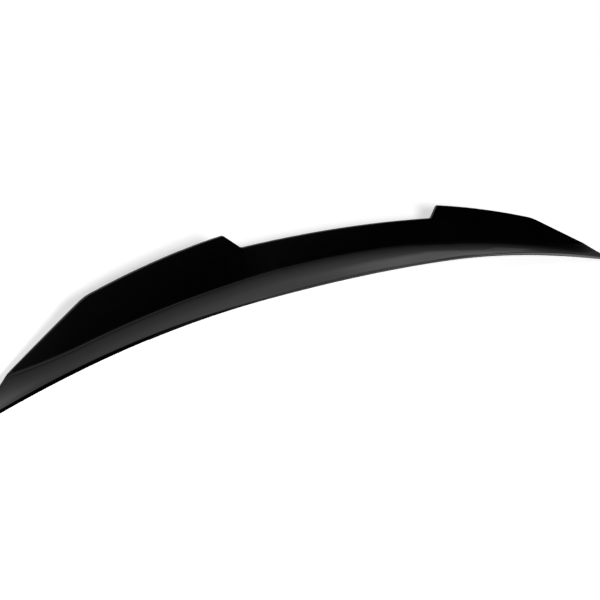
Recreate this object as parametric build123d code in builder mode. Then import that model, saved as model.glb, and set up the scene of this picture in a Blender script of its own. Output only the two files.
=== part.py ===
from build123d import *
from math import asin, cos, degrees, radians, sin
import os

# Rear spoiler for a boot lid: one moulding, hollow and open underneath, bonded down along its rim.
# X runs across the car, Y to the rear and Z up, in millimetres and degrees.
# The origin is the middle of the leading edge, where it lies on the lid.

# Boot lid that the underside follows
lid_slope = 5.5
lid_crown_radius = 3660.0

# Section of the show face, from the leading edge to the rear lip; swoop and kick meet in a slight crease
skin = 3.0
flange_run = 3.8
swoop_radius = 57.0
swoop_angle = 46.0
kick_angle = 53.0

# Sweep of that section across the car, round an axis that leans back
sweep_radius = 1650.0
sweep_tilt = 26.0

# Leading edge and ends, in plan; the half width is to the sharp corner of an end
half_width = 627.0
lead_straight = 206.0
lead_radius = 1240.0
end_angle = 40.0
end_blunt = 8.0

# Rear lip, seen from the front: centre, notch, wing and slope down to the end, a little above the lid
centre_height = 54.8
centre_radius = 6000.0
notch_half = 204.0
notch_run = 25.0
notch_radius = 9.0
wing_height = 69.9
wing_bow = 3.1
corner_half = 460.0
corner_height = 35.2
corner_radius = 90.0
tip_rise = 8.0

# Underside: rear wall, bonding rim and foot, stiffening ribs
wall = 3.0
wall_rear = 64.0
wall_radius = 1560.0
rim_width = 8.0
hollow_angle = 20.0
foot_width = 8.0
foot_thickness = 3.0
rib = 2.5
rib_pitch = 100.0
cells_each_side = 5
foot_cells_each_side = 4

# Rounded edges
lip_round = 1.0
nose_round = 1.8


def heading(angle):
    """Direction of a line that rises by an angle."""
    return Vector(cos(radians(angle)), sin(radians(angle)))


def square_to(angle):
    """Direction square to such a line, pointing up from it."""
    return Vector(-sin(radians(angle)), cos(radians(angle)))


# Values that follow from the sizes above
reach = 2 * wing_height
past_end = half_width + reach
lid_up = square_to(-lid_slope)
lid_plane = Plane((0, 0, 0), x_dir=(1, 0, 0), z_dir=(0, -lid_up.Y, lid_up.X))
side_turn = degrees(asin((half_width - lead_straight) / lead_radius))
centre_turn = degrees(asin(notch_half / centre_radius))
corner_front = lead_radius * (cos(radians(side_turn)) - 1)
lid_drop = lid_crown_radius * (1 - cos(asin(half_width / lid_crown_radius)))
tip_height = tip_rise - lid_drop - corner_front * sin(radians(lid_slope))
wall_centre = (0, wall_rear - wall_radius)
rib_places = [(rib_pitch * place, 0) for place in range(1 - cells_each_side, cells_each_side)]

# The section is drawn on a plane through the sweep axis, turned to beyond one end
sweep_out = heading(sweep_tilt)
sweep_up = square_to(sweep_tilt)
sweep_centre = skin * lid_up - sweep_radius * sweep_out
sweep_origin = (0, sweep_centre.X, sweep_centre.Y)
sweep_axis = Axis(sweep_origin, (0, -sweep_up.X, -sweep_up.Y))
sweep_angle = degrees(asin(past_end / sweep_radius))
middle_plane = Plane(sweep_origin, x_dir=(0, sweep_out.X, sweep_out.Y), z_dir=(1, 0, 0))
section_plane = Plane(middle_plane.location * Rotation(0, sweep_angle, 0))
flange_angle = -lid_slope - sweep_tilt
swoop_top = swoop_angle - sweep_tilt
rise_angle = kick_angle - sweep_tilt
swoop_start = Vector(sweep_radius, 0) + flange_run * heading(flange_angle)
swoop_centre = swoop_start + swoop_radius * square_to(flange_angle)


def below_face(depth, start_angle):
    """All that lies under the show face, or under the inside face at a depth below it."""
    radius = swoop_radius + depth
    start = swoop_centre - radius * square_to(start_angle)
    with BuildPart() as form:
        with BuildSketch(section_plane):
            with BuildLine():
                flange = Line(start - reach * heading(start_angle), start)
                swoop = JernArc(start, heading(start_angle), radius, swoop_top - start_angle)
                kick = Line(swoop @ 1, swoop @ 1 + reach * heading(rise_angle))
                back = PolarLine(kick @ 1, 2 * reach, -90)
                Polyline(back @ 1, ((flange @ 0).X, (back @ 1).Y), flange @ 0)
            make_face()
        revolve(axis=sweep_axis, revolution_arc=2 * sweep_angle)
    return form.part


def below_lid(rise):
    """All that lies under the boot lid, or under a face that rises a little above it."""
    radius = lid_crown_radius + rise
    turn = degrees(asin(past_end / radius))
    with BuildPart() as lid:
        with BuildSketch(lid_plane):
            with BuildLine():
                crown = JernArc((0, rise), (1, 0), radius, -turn)
                Polyline(crown @ 1, ((crown @ 1).X, -2 * reach), (0, -2 * reach))
                mirror(about=Plane.YZ)
            make_face()
        extrude(amount=2 * reach, both=True)
    return lid.part


# Full wedge between show face and lid, trimmed in plan and then from the front
with BuildPart() as wedge:
    add(below_face(0, flange_angle))
    with BuildSketch() as plan:
        with BuildLine():
            front = Line((0, 0), (lead_straight, 0))
            side = JernArc(front @ 1, front % 1, lead_radius, -side_turn)
            end = PolarLine(side @ 1, 2 * reach, 180 - end_angle)
            Polyline(end @ 1, (0, (end @ 1).Y), front @ 0)
        make_face()
        chamfer(plan.vertices().sort_by_distance(side @ 1)[0], end_blunt)
        mirror(about=Plane.YZ)
    extrude(amount=reach, both=True, mode=Mode.INTERSECT)

    leading = wedge.faces().filter_by(lambda face: face.normal_at().Y < -0.9)
    show = wedge.faces().filter_by(lambda face: face.normal_at().Z > 0.1)
    fillet(leading.edges() & show.edges(), nose_round)

    with BuildSketch(Plane.XZ) as outline:
        with BuildLine():
            centre = JernArc((0, centre_height), (1, 0), centre_radius, -centre_turn)
            notch = Line(centre @ 1, (notch_half + notch_run, wing_height))
            wing = SagittaArc(notch @ 1, (corner_half, corner_height), wing_bow)
            slope = Line(wing @ 1, (half_width, tip_height))
            Polyline(slope @ 1, (half_width, -2 * reach), (0, -2 * reach), centre @ 0)
        make_face()
        fillet(outline.vertices().sort_by_distance(wing @ 1)[0], corner_radius)
        fillet(outline.vertices().sort_by_distance(notch @ 0)[0], notch_radius)
        fillet(outline.vertices().sort_by_distance(notch @ 1)[0], notch_radius)
        mirror(about=Plane.YZ)
    extrude(amount=2 * reach, both=True, mode=Mode.INTERSECT)

    lip = wedge.faces().filter_by(lambda face: abs(face.normal_at().Y) < 0.01 and face.normal_at().Z > 0.2)
    show = wedge.faces().filter_by(lambda face: face.normal_at().Y < -0.2)
    fillet(lip.edges() & show.edges(), lip_round)
    add(below_lid(0), mode=Mode.SUBTRACT)

# Foot turned in from the bottom of the rear wall, which the cut below goes round
with BuildPart() as foot:
    with BuildSketch():
        with Locations(wall_centre):
            Circle(wall_radius - wall)
            Circle(wall_radius - wall - foot_width, mode=Mode.SUBTRACT)
        Rectangle(2 * foot_cells_each_side * rib_pitch, 4 * reach, mode=Mode.INTERSECT)
    extrude(amount=2 * reach, both=True)
    add(below_lid(foot_thickness), mode=Mode.INTERSECT)

# Space cut away from below: the cells between the ribs, and all that lies behind the rear wall
with BuildPart() as space:
    with BuildSketch():
        with BuildLine():
            front = Line((0, rim_width), (lead_straight, rim_width))
            side = JernArc(front @ 1, front % 1, lead_radius + rim_width, -side_turn)
            Polyline(side @ 1, ((side @ 1).X, reach), (0, reach))
            mirror(about=Plane.YZ)
        make_face()
        with Locations(wall_centre):
            Circle(wall_radius - wall, mode=Mode.INTERSECT)
        Rectangle(2 * cells_each_side * rib_pitch, 4 * reach, mode=Mode.INTERSECT)
        with Locations(rib_places):
            Rectangle(rib, 4 * reach, mode=Mode.SUBTRACT)
    extrude(amount=reach, both=True)
    add(foot.part, mode=Mode.SUBTRACT)
    with BuildSketch():
        Rectangle(2 * past_end, 4 * reach)
        with Locations(wall_centre):
            Circle(wall_radius, mode=Mode.SUBTRACT)
    extrude(amount=2 * reach, both=True)
    add(below_face(skin, hollow_angle - sweep_tilt), mode=Mode.INTERSECT)

# Thin moulding: the wedge less that space
with BuildPart() as spoiler:
    add(wedge.part)
    add(space.part, mode=Mode.SUBTRACT)

spoiler.part.label = "spoiler"
os.makedirs("parts", exist_ok=True)
export_step(spoiler.part, "parts/spoiler.step")
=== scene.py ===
import logging
import math
from collections.abc import Callable
from dataclasses import dataclass, field
from enum import IntEnum

import bmesh
import bpy
from mathutils import Matrix, Vector


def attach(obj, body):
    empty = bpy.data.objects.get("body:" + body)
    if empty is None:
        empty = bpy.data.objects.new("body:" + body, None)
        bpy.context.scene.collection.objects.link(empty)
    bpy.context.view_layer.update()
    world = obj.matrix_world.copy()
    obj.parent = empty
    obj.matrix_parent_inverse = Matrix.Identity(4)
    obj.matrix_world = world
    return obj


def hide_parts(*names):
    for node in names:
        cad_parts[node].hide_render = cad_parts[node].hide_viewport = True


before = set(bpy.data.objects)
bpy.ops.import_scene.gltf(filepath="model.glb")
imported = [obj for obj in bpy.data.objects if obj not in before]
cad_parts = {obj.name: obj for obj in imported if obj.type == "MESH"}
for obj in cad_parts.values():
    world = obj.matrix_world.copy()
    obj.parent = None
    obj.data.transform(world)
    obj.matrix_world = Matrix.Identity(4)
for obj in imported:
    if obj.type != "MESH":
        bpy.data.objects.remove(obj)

# Sizes are in millimetres and degrees, as on the drawing, and meshes in metres
MM = 0.001

# Steps in which a crossing is closed in on, each halving what is left
HALVINGS = 48

# Directions in which the heights of the surroundings are measured
UP = (0.0, 0.0, 1.0)
DOWN = (0.0, 0.0, -1.0)

log = logging.getLogger("rear_spoiler")


class Side(IntEnum):
    """Sides of the moulding that have a finish of their own, in the order of its materials."""

    SHOW = 0
    UNDERSIDE = 1


def heading(angle: float) -> tuple[float, float]:
    """Direction of a line that rises by an angle."""
    return math.cos(math.radians(angle)), math.sin(math.radians(angle))


def square_to(angle: float) -> tuple[float, float]:
    """Direction square to such a line, pointing up from it."""
    return -math.sin(math.radians(angle)), math.cos(math.radians(angle))


def crossing(rise: Callable[[float], float], low: float, high: float) -> float:
    """Find where a rising function crosses zero.

    Args:
        rise: the function.
        low: a value before the crossing.
        high: a value after it.

    Returns:
        The value at the crossing.
    """
    for _ in range(HALVINGS):
        middle = 0.5 * (low + high)
        if rise(middle) < 0.0:
            low = middle
        else:
            high = middle
    return 0.5 * (low + high)


def spread(start: float, stop: float, count: int) -> list[float]:
    """Values at even steps after a start, up to and with a stop."""
    return [start + (stop - start) * step / count for step in range(1, count + 1)]


@dataclass(frozen=True)
class BootLid:
    """Boot lid that the underside lies on, crowned across the car and sloping down to the rear."""

    slope: float = 5.5
    crown_radius: float = 3660.0

    def height(self, across: float, back: float) -> float:
        """Find the height of the lid.

        Args:
            across: place across the car.
            back: place towards the rear.

        Returns:
            Height above the origin.
        """
        drop = self.crown_radius - math.sqrt(self.crown_radius**2 - across**2)
        lean = math.radians(self.slope)
        along = (back + drop * math.sin(lean)) / math.cos(lean)
        return -along * math.sin(lean) - drop * math.cos(lean)


@dataclass(frozen=True)
class SweptFace:
    """Show face: a section of flange, swoop and kick, swept round an axis that leans back.

    Swoop and kick meet in a slight crease, which climbs towards the ends. The top of the swoop opens out
    to meet it, and a hair's breadth of a bead grows below it as it climbs. A run is measured along the
    section from the start of the swoop, and a depth square to the face.
    """

    skin: float = 3.0
    flange_run: float = 3.8
    swoop_radius: float = 57.0
    swoop_angle: float = 46.0
    kick_angle: float = 53.0
    crease_slant: float = 0.37
    crease_blend: float = 60.0
    crease_end: float = 480.0
    crease_end_radius: float = 500.0
    opening: float = 9.0
    bead_below: float = 2.2
    bead_width: float = 1.4
    bead_height: float = 0.12
    bead_climb: float = 2.2
    sweep_radius: float = 1650.0
    sweep_tilt: float = 26.0
    lid_slope: float = 5.5
    run_before: float = -150.0
    run_past: float = 350.0
    rising_slope: float = 2.0

    @property
    def flange_angle(self) -> float:
        """Slope of the flange, from the sweep's own level."""
        return -self.lid_slope - self.sweep_tilt

    @property
    def swoop_length(self) -> float:
        """Run from the start of the swoop to its top."""
        return self.run_to(self.swoop_angle)

    def run_to(self, slope: float) -> float:
        """Run along the swoop to the place where it has a slope."""
        return self.swoop_radius * math.radians(slope + self.lid_slope)

    def crease(self, across: float) -> float:
        """Find the run to the crease between swoop and kick.

        Args:
            across: place across the car.

        Returns:
            Run of the crease.
        """
        away = math.hypot(across, self.crease_blend) - self.crease_blend
        end = max(abs(across) - self.crease_end, 0.0)
        climb = away * math.tan(math.radians(self.crease_slant)) + end**2 / (2 * self.crease_end_radius)
        return self.swoop_length + climb

    def section(self, run: float, depth: float, start: float, crease: float) -> tuple[float, float]:
        """Find a point of the section, out from the sweep's axis and up along it.

        Args:
            run: place along the section.
            depth: how far under the show face.
            start: run at which the straight line in front turns into the swoop.
            crease: run at which the kick begins.

        Returns:
            Distance from the axis, and height along the axis.
        """
        knee = self.swoop_length - self.opening
        wide = self.swoop_radius * (crease - knee) / self.opening
        turned = max(run, start)
        opened = min(max(turned - knee, 0.0), crease - knee)
        kicked = max(run - crease, 0.0)
        angle = self.flange_angle + math.degrees(min(turned, knee) / self.swoop_radius)
        along = heading(angle)
        up = square_to(angle)
        top = square_to(angle + math.degrees(opened / wide))
        kick = heading(self.kick_angle - self.sweep_tilt)
        flange = heading(self.flange_angle)
        above = square_to(self.flange_angle)
        grown = self.bead_height * min((crease - self.swoop_length) / self.bead_climb, 1.0)
        bead = grown * math.exp(-(((run - crease + self.bead_below) / self.bead_width) ** 2))
        radius = wide + (depth or -bead)
        point = [
            self.flange_run * flange[axis]
            + self.swoop_radius * above[axis]
            + (wide - self.swoop_radius) * up[axis]
            - radius * top[axis]
            + (run - turned) * along[axis]
            + kicked * kick[axis]
            for axis in range(2)
        ]
        return self.sweep_radius + point[0], point[1]

    def point(
        self, across: float, run: float, depth: float = 0.0, start: float = 0.0
    ) -> tuple[float, float]:
        """Find a point of the face, or of the inside face at a depth below it.

        Args:
            across: place across the car.
            run: place along the section.
            depth: how far under the show face.
            start: run at which the straight line in front turns into the swoop.

        Returns:
            Place towards the rear, and height.
        """
        crease = self.crease(across) if depth == 0.0 else self.swoop_length
        out, up = self.section(run, depth, start, crease)
        sweep_out = heading(self.sweep_tilt)
        sweep_up = square_to(self.sweep_tilt)
        lid_up = square_to(-self.lid_slope)
        reach = math.sqrt(out**2 - across**2) - self.sweep_radius
        back = self.skin * lid_up[0] + reach * sweep_out[0] + up * sweep_up[0]
        return back, self.skin * lid_up[1] + reach * sweep_out[1] + up * sweep_up[1]

    def run_back(self, across: float, back: float, depth: float = 0.0, start: float = 0.0) -> float:
        """Find where the face reaches a place towards the rear.

        Args:
            across: place across the car.
            back: place towards the rear.
            depth: how far under the show face.
            start: run at which the straight line in front turns into the swoop.

        Returns:
            Run of that point.
        """
        return crossing(
            lambda run: self.point(across, run, depth, start)[0] - back, self.run_before, self.run_past
        )

    def run_up(self, across: float, height: float, depth: float = 0.0) -> float:
        """Find where the rising face reaches a height.

        Args:
            across: place across the car.
            height: height above the origin.
            depth: how far under the show face.

        Returns:
            Run of that point.
        """
        lowest = self.run_to(self.rising_slope)
        return crossing(lambda run: self.point(across, run, depth)[1] - height, lowest, self.run_past)


@dataclass(frozen=True)
class PlanOutline:
    """Leading edge and ends, seen from above."""

    half_width: float = 627.0
    lead_straight: float = 206.0
    lead_radius: float = 1240.0
    end_angle: float = 40.0
    end_blunt: float = 8.0

    @property
    def lead_angle(self) -> float:
        """Slant of the leading edge where it meets an end."""
        return math.degrees(math.asin((self.half_width - self.lead_straight) / self.lead_radius))

    @property
    def tip(self) -> tuple[tuple[float, float], tuple[float, float]]:
        """Find the two corners of the blunt end.

        Returns:
            Places across the car and towards the rear, first at the leading edge and then at the end.
        """
        corner = self.lead(self.half_width)
        front = heading(180 - self.lead_angle)
        end = heading(180 - self.end_angle)
        return (
            (self.half_width + self.end_blunt * front[0], corner + self.end_blunt * front[1]),
            (self.half_width + self.end_blunt * end[0], corner + self.end_blunt * end[1]),
        )

    def lead(self, across: float, inset: float = 0.0) -> float:
        """Find the leading edge before its corner is cut off, or a line behind it.

        Args:
            across: place across the car.
            inset: how far behind the edge.

        Returns:
            Place towards the rear.
        """
        side = max(abs(across) - self.lead_straight, 0.0)
        return math.sqrt((self.lead_radius + inset) ** 2 - side**2) - self.lead_radius

    def limits(self, across: float) -> tuple[float, float]:
        """Find the front and the rear limit of the part.

        Args:
            across: place across the car.

        Returns:
            The two places towards the rear.
        """
        (first, first_back), (last, last_back) = self.tip
        front = self.lead(across)
        past = abs(across) - first
        if past > 0.0:
            front = first_back + past * (last_back - first_back) / (last - first)
        rear = last_back + (last - abs(across)) * math.tan(math.radians(self.end_angle))
        return front, rear


@dataclass(frozen=True)
class LipOutline:
    """Rear lip, seen from the front: centre, notch, wing, corner and slope down to the end."""

    centre_height: float = 54.8
    centre_radius: float = 6000.0
    notch_half: float = 204.0
    notch_run: float = 25.0
    notch_radius: float = 9.0
    wing_height: float = 69.9
    wing_bow: float = 3.1
    corner_half: float = 460.0
    corner_height: float = 35.2
    corner_radius: float = 90.0
    tip_half: float = 627.0
    tip_height: float = -39.05

    def sharp(self, across: float) -> float:
        """Find the height of the lip before its corners are rounded.

        Args:
            across: place across the car, to the right of the middle.

        Returns:
            Height above the origin.
        """
        notch_top = self.notch_half + self.notch_run
        sill = self.centre_height - self.notch_half**2 / (2 * self.centre_radius)
        if across < self.notch_half:
            return self.centre_height - across**2 / (2 * self.centre_radius)
        if across < notch_top:
            return sill + (self.wing_height - sill) * (across - self.notch_half) / self.notch_run
        if across < self.corner_half:
            part = (across - notch_top) / (self.corner_half - notch_top)
            chord = self.wing_height + (self.corner_height - self.wing_height) * part
            return chord + 4 * self.wing_bow * part * (1 - part)
        part = (across - self.corner_half) / (self.tip_half - self.corner_half)
        return self.corner_height + (self.tip_height - self.corner_height) * part

    def height(self, across: float) -> float:
        """Find the height of the lip with its corners rounded.

        Args:
            across: place across the car.

        Returns:
            Height above the origin.
        """
        place = abs(across)
        corners = (
            (self.notch_half, self.notch_radius),
            (self.notch_half + self.notch_run, self.notch_radius),
            (self.corner_half, self.corner_radius),
        )
        step = 0.01
        for corner, radius in corners:
            top = self.sharp(corner)
            before = (top - self.sharp(corner - step)) / step
            after = (self.sharp(corner + step) - top) / step
            turn = abs(math.atan(after) - math.atan(before))
            half = radius * math.tan(turn / 2) * math.cos(math.atan((before + after) / 2))
            past = place - corner
            if abs(past) < half:
                return top + before * past + (after - before) * (past + half) ** 2 / (4 * half)
        return self.sharp(place)


@dataclass(frozen=True)
class SwoopLift:
    """Fuller swoop behind the middle of the leading edge, where it starts to rise sooner than at the ends."""

    first: float = 6.0
    last: float = 22.0
    height: float = 2.5
    full_half: float = 150.0
    fade_half: float = 240.0

    def proud(self, across: float, behind: float) -> float:
        """Find how far the show face stands proud of its plain section.

        Args:
            across: place across the car.
            behind: how far behind the leading edge.

        Returns:
            Height square to the face.
        """
        part = min(max((behind - self.first) / (self.last - self.first), 0.0), 1.0)
        fade = (self.fade_half - abs(across)) / (self.fade_half - self.full_half)
        return self.height * min(max(fade, 0.0), 1.0) * part * (2.0 - part)


def mesh_from(form: bmesh.types.BMesh, name: str) -> bpy.types.Mesh:
    """Turn a form into a mesh, and let go of the form.

    Args:
        form: the form.
        name: name of the mesh.

    Returns:
        The mesh.
    """
    mesh = bpy.data.meshes.new(name)
    form.to_mesh(mesh)
    form.free()
    return mesh


def placed(name: str, data: bpy.types.ID) -> bpy.types.Object:
    """Put a mesh, a light or a camera into the scene.

    Args:
        name: name of the object.
        data: what it shows.

    Returns:
        The object.
    """
    thing = bpy.data.objects.new(name, data)
    bpy.context.scene.collection.objects.link(thing)
    return thing


def grey(level: float) -> tuple[float, float, float, float]:
    """Opaque grey of a level."""
    return level, level, level, 1.0


def link(tree: bpy.types.NodeTree, start: bpy.types.NodeSocket, end: bpy.types.NodeSocket) -> None:
    """Join two sockets of a node tree."""
    tree.links.new(start, end)


def noise(
    tree: bpy.types.NodeTree, scale: float, detail: float, roughness: float = 0.5
) -> bpy.types.NodeSocket:
    """Add a noise that reads the piece's own coordinates.

    Args:
        tree: the material's node tree.
        scale: waves to the metre.
        detail: octaves.
        roughness: weight of the finer octaves.

    Returns:
        The noise's value.
    """
    place = tree.nodes.new("ShaderNodeTexCoord")
    texture = tree.nodes.new("ShaderNodeTexNoise")
    texture.inputs["Scale"].default_value = scale
    texture.inputs["Detail"].default_value = detail
    texture.inputs["Roughness"].default_value = roughness
    link(tree, place.outputs["Object"], texture.inputs["Vector"])
    return texture.outputs["Fac"]


def between(
    tree: bpy.types.NodeTree,
    value: bpy.types.NodeSocket,
    low: float,
    high: float,
    reach_of: tuple[float, float] = (0.3, 0.7),
) -> bpy.types.NodeSocket:
    """Stretch a part of a value's reach over a range.

    Args:
        tree: the material's node tree.
        value: the value.
        low: result where the value is low.
        high: result where it is high.
        reach_of: the low and the high value, for a noise those of its middle.

    Returns:
        The value in that range.
    """
    reach = tree.nodes.new("ShaderNodeMapRange")
    reach.inputs["From Min"].default_value = reach_of[0]
    reach.inputs["From Max"].default_value = reach_of[1]
    reach.inputs["To Min"].default_value = low
    reach.inputs["To Max"].default_value = high
    link(tree, value, reach.inputs["Value"])
    return reach.outputs["Result"]


def worked_out(
    tree: bpy.types.NodeTree,
    operation: str,
    first: bpy.types.NodeSocket,
    second: bpy.types.NodeSocket | float = 0.0,
) -> bpy.types.NodeSocket:
    """Work out a value from one or two others.

    Args:
        tree: the node tree.
        operation: what is done with them.
        first: the first value.
        second: the second value, or a fixed number.

    Returns:
        The result.
    """
    maths = tree.nodes.new("ShaderNodeMath")
    maths.operation = operation
    link(tree, first, maths.inputs[0])
    if isinstance(second, bpy.types.NodeSocket):
        link(tree, second, maths.inputs[1])
    else:
        maths.inputs[1].default_value = second
    return maths.outputs["Value"]


def ramp(
    tree: bpy.types.NodeTree, value: bpy.types.NodeSocket, steps: tuple[tuple[float, float], ...]
) -> bpy.types.NodeSocket:
    """Turn a value into a grey.

    Args:
        tree: the node tree.
        value: the value, from 0 to 1.
        steps: values and the greys that they give.

    Returns:
        The grey.
    """
    greys = tree.nodes.new("ShaderNodeValToRGB")
    elements = greys.color_ramp.elements
    elements.remove(elements[1])
    elements[0].position = steps[0][0]
    for position, _ in steps[1:]:
        elements.new(position)
    for element, (_, level) in zip(elements, steps):
        element.color = grey(level)
    link(tree, value, greys.inputs["Fac"])
    return greys.outputs["Color"]


@dataclass(frozen=True)
class BlackPlastic:
    """Black moulded plastic, with a faint clouding in its colour, a wandering gloss and a fine relief."""

    name: str
    dark: tuple[float, float, float]
    pale: tuple[float, float, float]
    roughness: tuple[float, float]
    gloss_scale: float
    relief_scale: float
    relief_height: float
    relief_strength: float
    refraction: float = 1.5
    cloud_scale: float = 14.0
    cloud_detail: float = 3.0
    cloud_range: tuple[float, float] = (0.35, 0.65)
    gloss_detail: float = 4.0
    gloss_weight: float = 0.6
    relief_detail: float = 2.0

    def material(self) -> bpy.types.Material:
        """Build the node material.

        Returns:
            The material.
        """
        material = bpy.data.materials.new(self.name)
        material.use_nodes = True
        tree = material.node_tree
        shader = tree.nodes["Principled BSDF"]
        shader.inputs["IOR"].default_value = self.refraction
        clouds = tree.nodes.new("ShaderNodeValToRGB")
        colours = (self.dark, self.pale)
        for element, position, colour in zip(clouds.color_ramp.elements, self.cloud_range, colours):
            element.position = position
            element.color = (*colour, 1.0)
        link(tree, noise(tree, self.cloud_scale, self.cloud_detail), clouds.inputs["Fac"])
        link(tree, clouds.outputs["Color"], shader.inputs["Base Color"])
        gloss = noise(tree, self.gloss_scale, self.gloss_detail, self.gloss_weight)
        link(tree, between(tree, gloss, *self.roughness), shader.inputs["Roughness"])
        relief = tree.nodes.new("ShaderNodeBump")
        relief.inputs["Strength"].default_value = self.relief_strength
        relief.inputs["Distance"].default_value = self.relief_height * MM
        link(tree, noise(tree, self.relief_scale, self.relief_detail), relief.inputs["Height"])
        link(tree, relief.outputs["Normal"], shader.inputs["Normal"])
        return material


POLISHED = BlackPlastic(
    name="polished_black",
    dark=(0.0003, 0.0003, 0.0003),
    pale=(0.0005, 0.0005, 0.0005),
    roughness=(0.03, 0.05),
    gloss_scale=45.0,
    relief_scale=260.0,
    relief_height=0.004,
    relief_strength=0.25,
)

AS_MOULDED = BlackPlastic(
    name="moulded_black",
    dark=(0.0075, 0.0075, 0.0080),
    pale=(0.0105, 0.0105, 0.0110),
    roughness=(0.36, 0.46),
    gloss_scale=70.0,
    relief_scale=1900.0,
    relief_height=0.03,
    relief_strength=0.5,
)


@dataclass
class Moulding:
    """The whole spoiler: a thin skin from leading edge to rear lip, hollow and ribbed underneath."""

    lid: BootLid = field(default_factory=BootLid)
    face: SweptFace = field(default_factory=SweptFace)
    plan: PlanOutline = field(default_factory=PlanOutline)
    lip: LipOutline = field(default_factory=LipOutline)
    lift: SwoopLift = field(default_factory=SwoopLift)
    wall: float = 3.0
    wall_rear: float = 64.0
    wall_radius: float = 1560.0
    rim_width: float = 8.0
    hollow_angle: float = 20.0
    foot_width: float = 8.0
    foot_thickness: float = 3.0
    rib: float = 2.5
    rib_pitch: float = 100.0
    cells_each_side: int = 5
    foot_cells_each_side: int = 4
    lip_round: float = 0.5
    lip_rear_round: float = 0.25
    lip_round_end: float = 52.0
    nose_round: float = 1.8
    rim_round: float = 0.5
    nose_round_end: float = 8.0
    round_steps: int = 4
    below: float = 14.0
    weld: float = 0.002
    sliver: float = 0.004
    sharp_angle: float = 32.0
    edge_reach: float = 2.4
    edge_share: float = 0.3
    flange_rows: int = 6
    swoop_rows: int = 28
    crease_reach: float = 6.0
    crease_rows: int = 10
    kick_rows: int = 16
    kick_least: float = 1.0
    slope_step: float = 0.1
    rear_rows: int = 14
    cell_columns: int = 16
    notch_outside: float = 6.0
    notch_inside: float = 4.0
    corner_margin: float = 16.0
    end_margins: tuple[float, float, float] = (36.0, 6.0, 0.1)
    station_counts: tuple[int, ...] = (28, 20, 10, 20, 30, 20, 18, 20, 14)

    @property
    def lip_row(self) -> int:
        """Place of the lip in a section, after the rim, two rows of the nose and those of the show face."""
        return 3 + self.flange_rows + self.swoop_rows + self.crease_rows + self.kick_rows

    def wall_line(self, across: float, inset: float = 0.0) -> float:
        """Find the rear wall, or a face in front of it.

        Args:
            across: place across the car.
            inset: how far in front of the wall's outside.

        Returns:
            Place towards the rear.
        """
        return self.wall_rear - self.wall_radius + math.sqrt((self.wall_radius - inset) ** 2 - across**2)

    def stations(self) -> list[float]:
        """Set the places across the car for the skin's sections, closest where the lip turns.

        Returns:
            The places, from left to right.
        """
        lip = self.lip
        notch_top = lip.notch_half + lip.notch_run
        tip = self.plan.tip[1][0]
        stops = (
            lip.notch_half - self.notch_outside,
            lip.notch_half + self.notch_inside,
            notch_top - self.notch_inside,
            notch_top + self.notch_outside,
            lip.corner_half - self.corner_margin,
            lip.corner_half + self.corner_margin,
            *[tip - margin for margin in self.end_margins],
        )
        right = [0.0]
        for stop, count in zip(stops, self.station_counts):
            right += spread(right[-1], stop, count)
        return [-place for place in reversed(right[1:])] + right

    def show_point(self, across: float, run: float, last: float) -> tuple[float, float]:
        """Find a point of the show face, with the fuller swoop that fades out up the kick.

        Args:
            across: place across the car.
            run: place along the section.
            last: run to the lip.

        Returns:
            Place towards the rear, and height.
        """
        back, up = self.face.point(across, run)
        crease = min(self.face.crease(across), last - self.kick_least)
        share = min((last - run) / (last - crease), 1.0)
        proud = share * self.lift.proud(across, back - self.plan.lead(across))
        ahead = self.face.point(across, run + self.slope_step)
        along = Vector((ahead[0] - back, ahead[1] - up)).normalized()
        return back - proud * along.y, up + proud * along.x

    def skin_ring(self, across: float) -> list[tuple[float, float, float]]:
        """Section of the skin with its rear wall, filled in underneath.

        Args:
            across: place across the car.

        Returns:
            Points round the section: nose, show face, lip, rear of the skin, rear wall.
        """
        face = self.face
        front, rear = self.plan.limits(across)
        skin = face.skin
        first = face.run_back(across, front)
        last = min(face.run_up(across, self.lip.height(across)), face.run_back(across, rear))
        edge = min(self.edge_reach, self.edge_share * (last - first))
        inner_first = first + edge
        inner_last = last - edge
        swoop = min(max(0.0, inner_first), inner_last)
        kick = min(max(face.crease(across), inner_first), inner_last)
        runs = [first, inner_first]
        below = max(kick - self.crease_reach, swoop)
        runs += spread(inner_first, swoop, self.flange_rows)
        runs += spread(swoop, below, self.swoop_rows)
        runs += spread(below, kick, self.crease_rows)
        runs += spread(kick, inner_last, self.kick_rows)
        runs.append(last)
        points = [(front, self.lid.height(across, front))]
        points += [self.show_point(across, run, last) for run in runs]
        top = points[-1]
        behind = face.point(across, face.run_up(across, top[1], skin), skin)
        lip_back = min(behind[0], max(rear, top[0]))
        points.append((lip_back, top[1]))
        wall = min(self.wall_line(across), lip_back)
        start = face.run_back(across, lip_back, skin)
        stop = face.run_back(across, wall, skin)
        underneath = [face.point(across, run, skin) for run in [start, *spread(start, stop, self.rear_rows)]]
        points += [(back, max(up, self.lid.height(across, back))) for back, up in underneath]
        points.append((wall, self.lid.height(across, wall)))
        return [(across * MM, back * MM, up * MM) for back, up in points]

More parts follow.
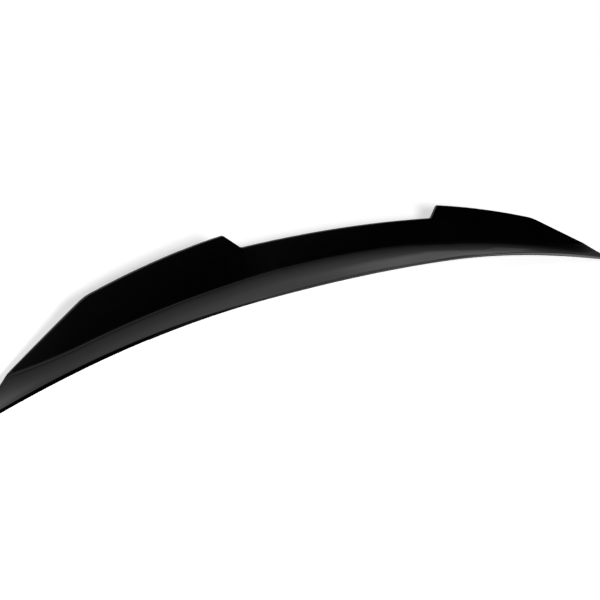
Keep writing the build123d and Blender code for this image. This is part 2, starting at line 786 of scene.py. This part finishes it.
    def cell_ring(self, across: float, footed: bool) -> list[tuple[float, float, float]]:
        """Section of a cell of the hollow underside, carried on below the lid.

        Args:
            across: place across the car.
            footed: whether the rear wall has its foot here.

        Returns:
            Points round the section.
        """
        start = self.face.run_to(self.hollow_angle)
        skin = self.face.skin
        rim = self.plan.lead(across, self.rim_width)
        wall = self.wall_line(across, self.wall)
        toe = self.wall_line(across, self.wall + self.foot_width) if footed else wall
        first = self.face.run_back(across, rim, skin, start)
        last = self.face.run_back(across, wall, skin, start)
        runs = [first, *spread(first, last, self.swoop_rows)]
        points = [(rim, self.lid.height(across, rim) - self.below)]
        points += [self.face.point(across, run, skin, start) for run in runs]
        foot = self.foot_thickness if footed else -self.foot_thickness
        points.append((wall, self.lid.height(across, wall) + foot))
        points.append((toe, self.lid.height(across, toe) + foot))
        points.append((toe, self.lid.height(across, toe) - self.below))
        return [(across * MM, back * MM, up * MM) for back, up in points]

    def lay_rings(self, form: bmesh.types.BMesh, rings: list[list[tuple[float, float, float]]]) -> None:
        """Lay a closed tube of faces through rings of points and close its two ends.

        Args:
            form: the mesh to add it to.
            rings: points round each section, the same number in each.
        """
        columns = len(rings) - 1
        rows = len(rings[0])
        row_of = form.verts.layers.int.get("row") or form.verts.layers.int.new("row")
        grid = bmesh.ops.create_grid(form, x_segments=columns, y_segments=rows, size=1.0)["verts"]
        for vertex in grid:
            column = round((vertex.co.x + 1.0) / 2.0 * columns)
            row = round((vertex.co.y + 1.0) / 2.0 * rows) % rows
            vertex.co = rings[column][row]
            vertex[row_of] = row
        bmesh.ops.remove_doubles(form, verts=grid, dist=self.weld * MM)
        rim = [edge for edge in form.edges if edge.is_boundary]
        bmesh.ops.holes_fill(form, edges=rim, sides=0)
        bmesh.ops.recalc_face_normals(form, faces=form.faces[:])

    def round_row(self, form: bmesh.types.BMesh, row: int, radius: float, limit: float) -> None:
        """Round an edge that runs across the car.

        Args:
            form: the skin's mesh.
            row: place of the edge in the section.
            radius: size of the rounding.
            limit: how far out the rounding goes.
        """
        row_of = form.verts.layers.int["row"]
        edges = [
            edge
            for edge in form.edges
            if all(vertex[row_of] == row and abs(vertex.co.x) < limit * MM for vertex in edge.verts)
        ]
        bmesh.ops.bevel(
            form,
            geom=edges,
            offset=radius * MM,
            offset_type="OFFSET",
            affect="EDGES",
            segments=self.round_steps,
            profile=0.5,
            material=-1,
            clamp_overlap=False,
        )

    def skin_mesh(self) -> bpy.types.Mesh:
        """Build the skin, filled in underneath.

        Returns:
            The mesh, with the show side and the underside in materials of their own.
        """
        form = bmesh.new()
        self.lay_rings(form, [self.skin_ring(across) for across in self.stations()])
        row_of = form.verts.layers.int["row"]
        lip_rear = self.lip_row + 1
        for face in form.faces:
            rows = [vertex[row_of] for vertex in face.verts]
            shown = max(rows) <= lip_rear
            face.material_index = Side.SHOW if shown else Side.UNDERSIDE
        tip = self.plan.tip[0][0]
        nose_limit = tip - self.nose_round_end
        lip_limit = tip - self.lip_round_end
        self.round_row(form, 0, self.rim_round, nose_limit)
        self.round_row(form, 1, self.nose_round, nose_limit)
        self.round_row(form, self.lip_row, self.lip_round, lip_limit)
        self.round_row(form, lip_rear, self.lip_rear_round, lip_limit)
        return mesh_from(form, "skin")

    def cells_mesh(self) -> bpy.types.Mesh:
        """Build the cells between the ribs, to be cut out of the skin.

        Returns:
            The mesh, all of it in the underside's material.
        """
        joined = bpy.data.meshes.new("cells")
        form = bmesh.new()
        for cell in range(-self.cells_each_side, self.cells_each_side):
            left = cell * self.rib_pitch
            right = left + self.rib_pitch
            if cell > -self.cells_each_side:
                left += self.rib / 2
            if cell < self.cells_each_side - 1:
                right -= self.rib / 2
            footed = -self.foot_cells_each_side <= cell < self.foot_cells_each_side
            places = [left, *spread(left, right, self.cell_columns)]
            # Each cell is closed on its own before it joins the others
            single = bmesh.new()
            self.lay_rings(single, [self.cell_ring(across, footed) for across in places])
            for face in single.faces:
                face.material_index = Side.UNDERSIDE
            single.to_mesh(joined)
            single.free()
            form.from_mesh(joined)
        form.to_mesh(joined)
        form.free()
        return joined

    def clear_slivers(self, mesh: bpy.types.Mesh) -> None:
        """Take out the slivers that the cut leaves where a cell meets the rim.

        Args:
            mesh: the mesh after the cut.
        """
        form = bmesh.new()
        form.from_mesh(mesh)
        many_sided = [face for face in form.faces if len(face.verts) > 4]
        bmesh.ops.triangulate(form, faces=many_sided)
        bmesh.ops.dissolve_degenerate(form, edges=form.edges[:], dist=self.sliver * MM)
        form.to_mesh(mesh)
        form.free()

    def build(self) -> bpy.types.Object:
        """Build the spoiler, dress it and put it in the frame.

        Returns:
            The finished piece.
        """
        finishes = [POLISHED.material(), AS_MOULDED.material()]
        piece = placed("spoiler_moulding", self.skin_mesh())
        cells = placed("cells", self.cells_mesh())
        for shape in (piece, cells):
            for finish in finishes:
                shape.data.materials.append(finish)
        hollow = piece.modifiers.new("hollow", "BOOLEAN")
        hollow.operation = "DIFFERENCE"
        hollow.solver = "EXACT"
        hollow.object = cells
        shown = piece.evaluated_get(bpy.context.evaluated_depsgraph_get())
        solid = bpy.data.meshes.new_from_object(shown)
        piece.modifiers.clear()
        piece.data = solid
        self.clear_slivers(solid)
        bpy.data.objects.remove(cells)
        solid.shade_smooth()
        solid.set_sharp_from_angle(angle=math.radians(self.sharp_angle))
        even = piece.modifiers.new("even_normals", "WEIGHTED_NORMAL")
        even.keep_sharp = True
        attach(piece, "root")
        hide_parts("spoiler")
        return piece


@dataclass(frozen=True)
class Studio:
    """Pale floor, soft light from above and behind, and a key light beside the camera for the shadow."""

    floor_level: float = -46.8
    floor_half: float = 6000.0
    floor_colour: float = 0.8
    floor_glow: tuple[tuple[float, float], ...] = ((0.26, 0.46), (0.32, 0.57), (0.55, 0.65), (0.8, 0.8))
    glow_middle: tuple[float, float, float] = (150.0, 60.0, 0.0)
    glow_reach: float = 2000.0
    fill: float = 0.25
    key_power: float = 67.0
    key_radius: float = 45.0
    key_place: tuple[float, float, float] = (-645.0, -800.0, 388.0)
    front_right: tuple[float, float, float] = (0.819, -0.574, 0.0)
    front: tuple[float, float, float] = (-0.174, -0.985, 0.0)
    front_left: tuple[float, float, float] = (-0.259, -0.966, 0.0)
    overhead: tuple[float, float, float] = (-0.174, -0.299, 0.938)
    far_side: tuple[float, float, float] = (0.795, 0.321, 0.515)
    height_glow: tuple[tuple[float, float], ...] = (
        (0.0, 0.03),
        (0.17, 0.1),
        (0.31, 0.33),
        (0.4, 0.5),
        (0.56, 0.58),
        (0.67, 0.64),
        (0.77, 0.74),
        (0.9, 0.8),
    )
    right_shade: tuple[tuple[float, float], ...] = (
        (0.25, 1.0),
        (0.4, 0.8),
        (0.52, 0.66),
        (0.58, 0.5),
        (0.64, 0.38),
        (0.69, 0.24),
        (0.72, 0.1),
        (0.74, 0.045),
        (0.77, 0.0),
    )
    front_shade: tuple[tuple[float, float], ...] = ((0.35, 1.0), (0.8, 0.2))
    overhead_glow: tuple[tuple[float, float], ...] = (
        (0.83, 0.0),
        (0.845, 0.08),
        (0.855, 0.22),
        (0.862, 0.42),
        (0.868, 0.65),
        (0.875, 1.0),
        (0.882, 1.0),
        (0.9, 0.0),
    )
    far_glow: tuple[tuple[float, float], ...] = ((0.966, 0.0), (0.9925, 0.35))
    floor_shade: tuple[tuple[float, float], ...] = ((0.15, 0.5), (0.3, 0.0))
    floor_depth: tuple[tuple[float, float], ...] = ((0.45, 1.0), (0.6, 0.35), (0.8, 0.2))

    def floor(self) -> bpy.types.Object:
        """Lay the floor.

        Returns:
            The floor.
        """
        form = bmesh.new()
        bmesh.ops.create_grid(form, x_segments=1, y_segments=1, size=self.floor_half * MM)
        bmesh.ops.translate(form, verts=form.verts[:], vec=(0.0, 0.0, self.floor_level * MM))
        floor = placed("floor", mesh_from(form, "floor"))
        floor.data.materials.append(self.floor_paint())
        floor.visible_glossy = False
        return floor

    def floor_paint(self) -> bpy.types.Material:
        """Matt white, with a glow that only the camera sees and that grows away from the part.

        Returns:
            The material.
        """
        material = bpy.data.materials.new("floor_white")
        material.use_nodes = True
        tree = material.node_tree
        tree.nodes.clear()
        output = tree.nodes.new("ShaderNodeOutputMaterial")
        both = tree.nodes.new("ShaderNodeAddShader")
        matt = tree.nodes.new("ShaderNodeBsdfDiffuse")
        matt.inputs["Color"].default_value = grey(self.floor_colour)
        place = tree.nodes.new("ShaderNodeTexCoord")
        away = tree.nodes.new("ShaderNodeVectorMath")
        away.operation = "DISTANCE"
        away.inputs[1].default_value = Vector(self.glow_middle) * MM
        link(tree, place.outputs["Object"], away.inputs[0])
        share = worked_out(tree, "DIVIDE", away.outputs["Value"], self.glow_reach * MM)
        glow = tree.nodes.new("ShaderNodeEmission")
        link(tree, ramp(tree, share, self.floor_glow), glow.inputs["Color"])
        path = tree.nodes.new("ShaderNodeLightPath")
        link(tree, path.outputs["Is Camera Ray"], glow.inputs["Strength"])
        link(tree, matt.outputs["BSDF"], both.inputs[0])
        link(tree, glow.outputs["Emission"], both.inputs[1])
        link(tree, both.outputs["Shader"], output.inputs["Surface"])
        return material

    def facing(
        self,
        tree: bpy.types.NodeTree,
        ray: bpy.types.NodeSocket,
        towards: tuple[float, float, float],
    ) -> bpy.types.NodeSocket:
        """How far a ray points towards a direction.

        Args:
            tree: the world's node tree.
            ray: direction of the ray.
            towards: the direction.

        Returns:
            1 where the ray points straight there, and 0 where it points square to it.
        """
        product = tree.nodes.new("ShaderNodeVectorMath")
        product.operation = "DOT_PRODUCT"
        product.inputs[1].default_value = towards
        link(tree, ray, product.inputs[0])
        return product.outputs["Value"]

    def surroundings(self) -> None:
        """White to the camera, an even fill on the floor, and for gloss a soft light with a dark front."""
        world = bpy.data.worlds.new("studio")
        bpy.context.scene.world = world
        world.use_nodes = True
        tree = world.node_tree
        tree.nodes.clear()
        output = tree.nodes.new("ShaderNodeOutputWorld")
        path = tree.nodes.new("ShaderNodeLightPath")
        ray = tree.nodes.new("ShaderNodeTexCoord").outputs["Generated"]
        upward = self.facing(tree, ray, UP)
        downward = self.facing(tree, ray, DOWN)
        sky = ramp(tree, upward, self.height_glow)
        shades = ((self.front_right, self.right_shade), (self.front, self.front_shade))
        for towards, steps in shades:
            sky = worked_out(tree, "MULTIPLY", sky, ramp(tree, self.facing(tree, ray, towards), steps))
        glows = ((self.overhead, self.overhead_glow), (self.far_side, self.far_glow))
        for towards, steps in glows:
            sky = worked_out(tree, "ADD", sky, ramp(tree, self.facing(tree, ray, towards), steps))
        ground = worked_out(
            tree,
            "MULTIPLY",
            ramp(tree, self.facing(tree, ray, self.front_left), self.floor_shade),
            ramp(tree, downward, self.floor_depth),
        )
        above = worked_out(tree, "MULTIPLY", sky, worked_out(tree, "GREATER_THAN", upward, 0.0))
        below = worked_out(tree, "MULTIPLY", ground, worked_out(tree, "GREATER_THAN", downward, 0.0))
        soft = tree.nodes.new("ShaderNodeBackground")
        link(tree, worked_out(tree, "ADD", above, below), soft.inputs["Strength"])
        soft.inputs["Color"].default_value = grey(1.0)
        even = tree.nodes.new("ShaderNodeBackground")
        even.inputs["Color"].default_value = grey(self.fill)
        white = tree.nodes.new("ShaderNodeBackground")
        white.inputs["Color"].default_value = grey(1.0)
        by_gloss = tree.nodes.new("ShaderNodeMixShader")
        link(tree, path.outputs["Is Glossy Ray"], by_gloss.inputs["Fac"])
        link(tree, even.outputs["Background"], by_gloss.inputs[1])
        link(tree, soft.outputs["Background"], by_gloss.inputs[2])
        by_camera = tree.nodes.new("ShaderNodeMixShader")
        link(tree, path.outputs["Is Camera Ray"], by_camera.inputs["Fac"])
        link(tree, by_gloss.outputs["Shader"], by_camera.inputs[1])
        link(tree, white.outputs["Background"], by_camera.inputs[2])
        link(tree, by_camera.outputs["Shader"], output.inputs["Surface"])

    def key(self) -> bpy.types.Object:
        """Hang the key light.

        Returns:
            The light.
        """
        lamp = bpy.data.lights.new("key", "POINT")
        lamp.energy = self.key_power
        lamp.shadow_soft_size = self.key_radius * MM
        lamp.use_nodes = True
        tree = lamp.node_tree
        even = tree.nodes.new("ShaderNodeLightFalloff")
        even.inputs["Strength"].default_value = 1.0
        link(tree, even.outputs["Constant"], tree.nodes["Emission"].inputs["Strength"])
        key = placed("key", lamp)
        key.location = Vector(self.key_place) * MM
        key.visible_glossy = False
        return key


@dataclass(frozen=True)
class Card:
    """Upright card of light that only gloss sees, with a strength that changes along it and up it."""

    name: str
    start: tuple[float, float]
    end: tuple[float, float]
    bottom: float
    tops: tuple[float, float]
    strengths: tuple[tuple[float, float], ...]
    fade: tuple[tuple[float, float], ...] = ((0.0, 1.0),)

    def light(self) -> bpy.types.Material:
        """Light that changes from the card's start to its end, and from its foot to its top.

        Returns:
            The material.
        """
        material = bpy.data.materials.new(self.name + "_light")
        material.use_nodes = True
        tree = material.node_tree
        tree.nodes.clear()
        output = tree.nodes.new("ShaderNodeOutputMaterial")
        both = tree.nodes.new("ShaderNodeAddShader")
        clear = tree.nodes.new("ShaderNodeBsdfTransparent")
        glow = tree.nodes.new("ShaderNodeEmission")
        place = tree.nodes.new("ShaderNodeTexCoord")
        apart = tree.nodes.new("ShaderNodeSeparateXYZ")
        link(tree, place.outputs["Object"], apart.inputs["Vector"])
        share = between(tree, apart.outputs["Y"], 0.0, 1.0, (self.start[1] * MM, self.end[1] * MM))
        sideways = ramp(tree, share, self.strengths)
        upwards = ramp(tree, apart.outputs["Z"], self.fade)
        link(tree, worked_out(tree, "MULTIPLY", sideways, upwards), glow.inputs["Strength"])
        link(tree, glow.outputs["Emission"], both.inputs[0])
        link(tree, clear.outputs["BSDF"], both.inputs[1])
        link(tree, both.outputs["Shader"], output.inputs["Surface"])
        return material

    def build(self) -> bpy.types.Object:
        """Stand the card up.

        Returns:
            The card.
        """
        form = bmesh.new()
        foot = [form.verts.new((x * MM, y * MM, self.bottom * MM)) for x, y in (self.start, self.end)]
        edge = form.edges.new(foot)
        raised = bmesh.ops.extrude_edge_only(form, edges=[edge])["geom"]
        corners = [item for item in raised if isinstance(item, bmesh.types.BMVert)]
        corners.sort(key=lambda corner: corner.co.y)
        for corner, top in zip(corners, self.tops):
            corner.co.z = top * MM
        card = placed(self.name, mesh_from(form, self.name))
        card.data.materials.append(self.light())
        card.visible_camera = False
        card.visible_diffuse = False
        card.visible_shadow = False
        return card


FRONT_CARD = Card(
    name="front_card",
    start=(96.2, -553.9),
    end=(900.0, -100.0),
    bottom=-420.0,
    tops=(435.0, 60.0),
    strengths=((0.0, 0.0), (0.06, 1.4), (1.0, 3.0)),
)

SIDE_CARD = Card(
    name="side_card",
    start=(900.0, -255.0),
    end=(900.0, 0.0),
    bottom=-40.0,
    tops=(400.0, 400.0),
    strengths=((0.0, 0.5), (1.0, 0.1)),
    fade=(
        (0.217, 1.0),
        (0.221, 0.7),
        (0.229, 0.5),
        (0.237, 0.37),
        (0.25, 0.18),
        (0.265, 0.1),
        (0.28, 0.05),
        (0.34, 0.03),
        (0.395, 0.0),
    ),
)

HIGH_CARD = Card(
    name="high_card",
    start=(900.0, -10.0),
    end=(900.0, 90.0),
    bottom=350.0,
    tops=(480.0, 480.0),
    strengths=((0.0, 0.22),),
)


@dataclass(frozen=True)
class PhotoCamera:
    """Camera in front of the left wing, above it and looking down."""

    place: tuple[float, float, float] = (-758.9, -759.5, 389.2)
    right: tuple[float, float, float] = (0.7934, -0.6035, 0.0801)
    up: tuple[float, float, float] = (0.1744, 0.3513, 0.9199)
    lens: float = 42.45
    sensor_width: float = 36.0
    clip_start: float = 10.0
    clip_end: float = 50000.0

    def build(self) -> bpy.types.Object:
        """Set up the camera.

        Returns:
            The camera.
        """
        lens = bpy.data.cameras.new("photo_camera")
        lens.lens = self.lens
        lens.sensor_width = self.sensor_width
        lens.clip_start = self.clip_start * MM
        lens.clip_end = self.clip_end * MM
        camera = placed("photo_camera", lens)
        right = Vector(self.right).normalized()
        back = right.cross(Vector(self.up)).normalized()
        up = back.cross(right)
        turn = Matrix((right, up, back)).transposed()
        camera.matrix_world = Matrix.Translation(Vector(self.place) * MM) @ turn.to_4x4()
        bpy.context.scene.camera = camera
        return camera


def main() -> None:
    """Build the spoiler, the studio and the camera."""
    logging.basicConfig(level=logging.INFO, format="%(name)s: %(message)s")
    bpy.context.scene.view_settings.view_transform = "Standard"
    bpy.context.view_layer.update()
    piece = Moulding().build()
    log.info("%s: %d faces", piece.name, len(piece.data.polygons))
    studio = Studio()
    studio.surroundings()
    stands = [studio.floor(), studio.key(), PhotoCamera().build()]
    stands += [card.build() for card in (FRONT_CARD, SIDE_CARD, HIGH_CARD)]
    for stand in stands:
        log.info("%s in place", stand.name)


if __name__ == "__main__":
    main()
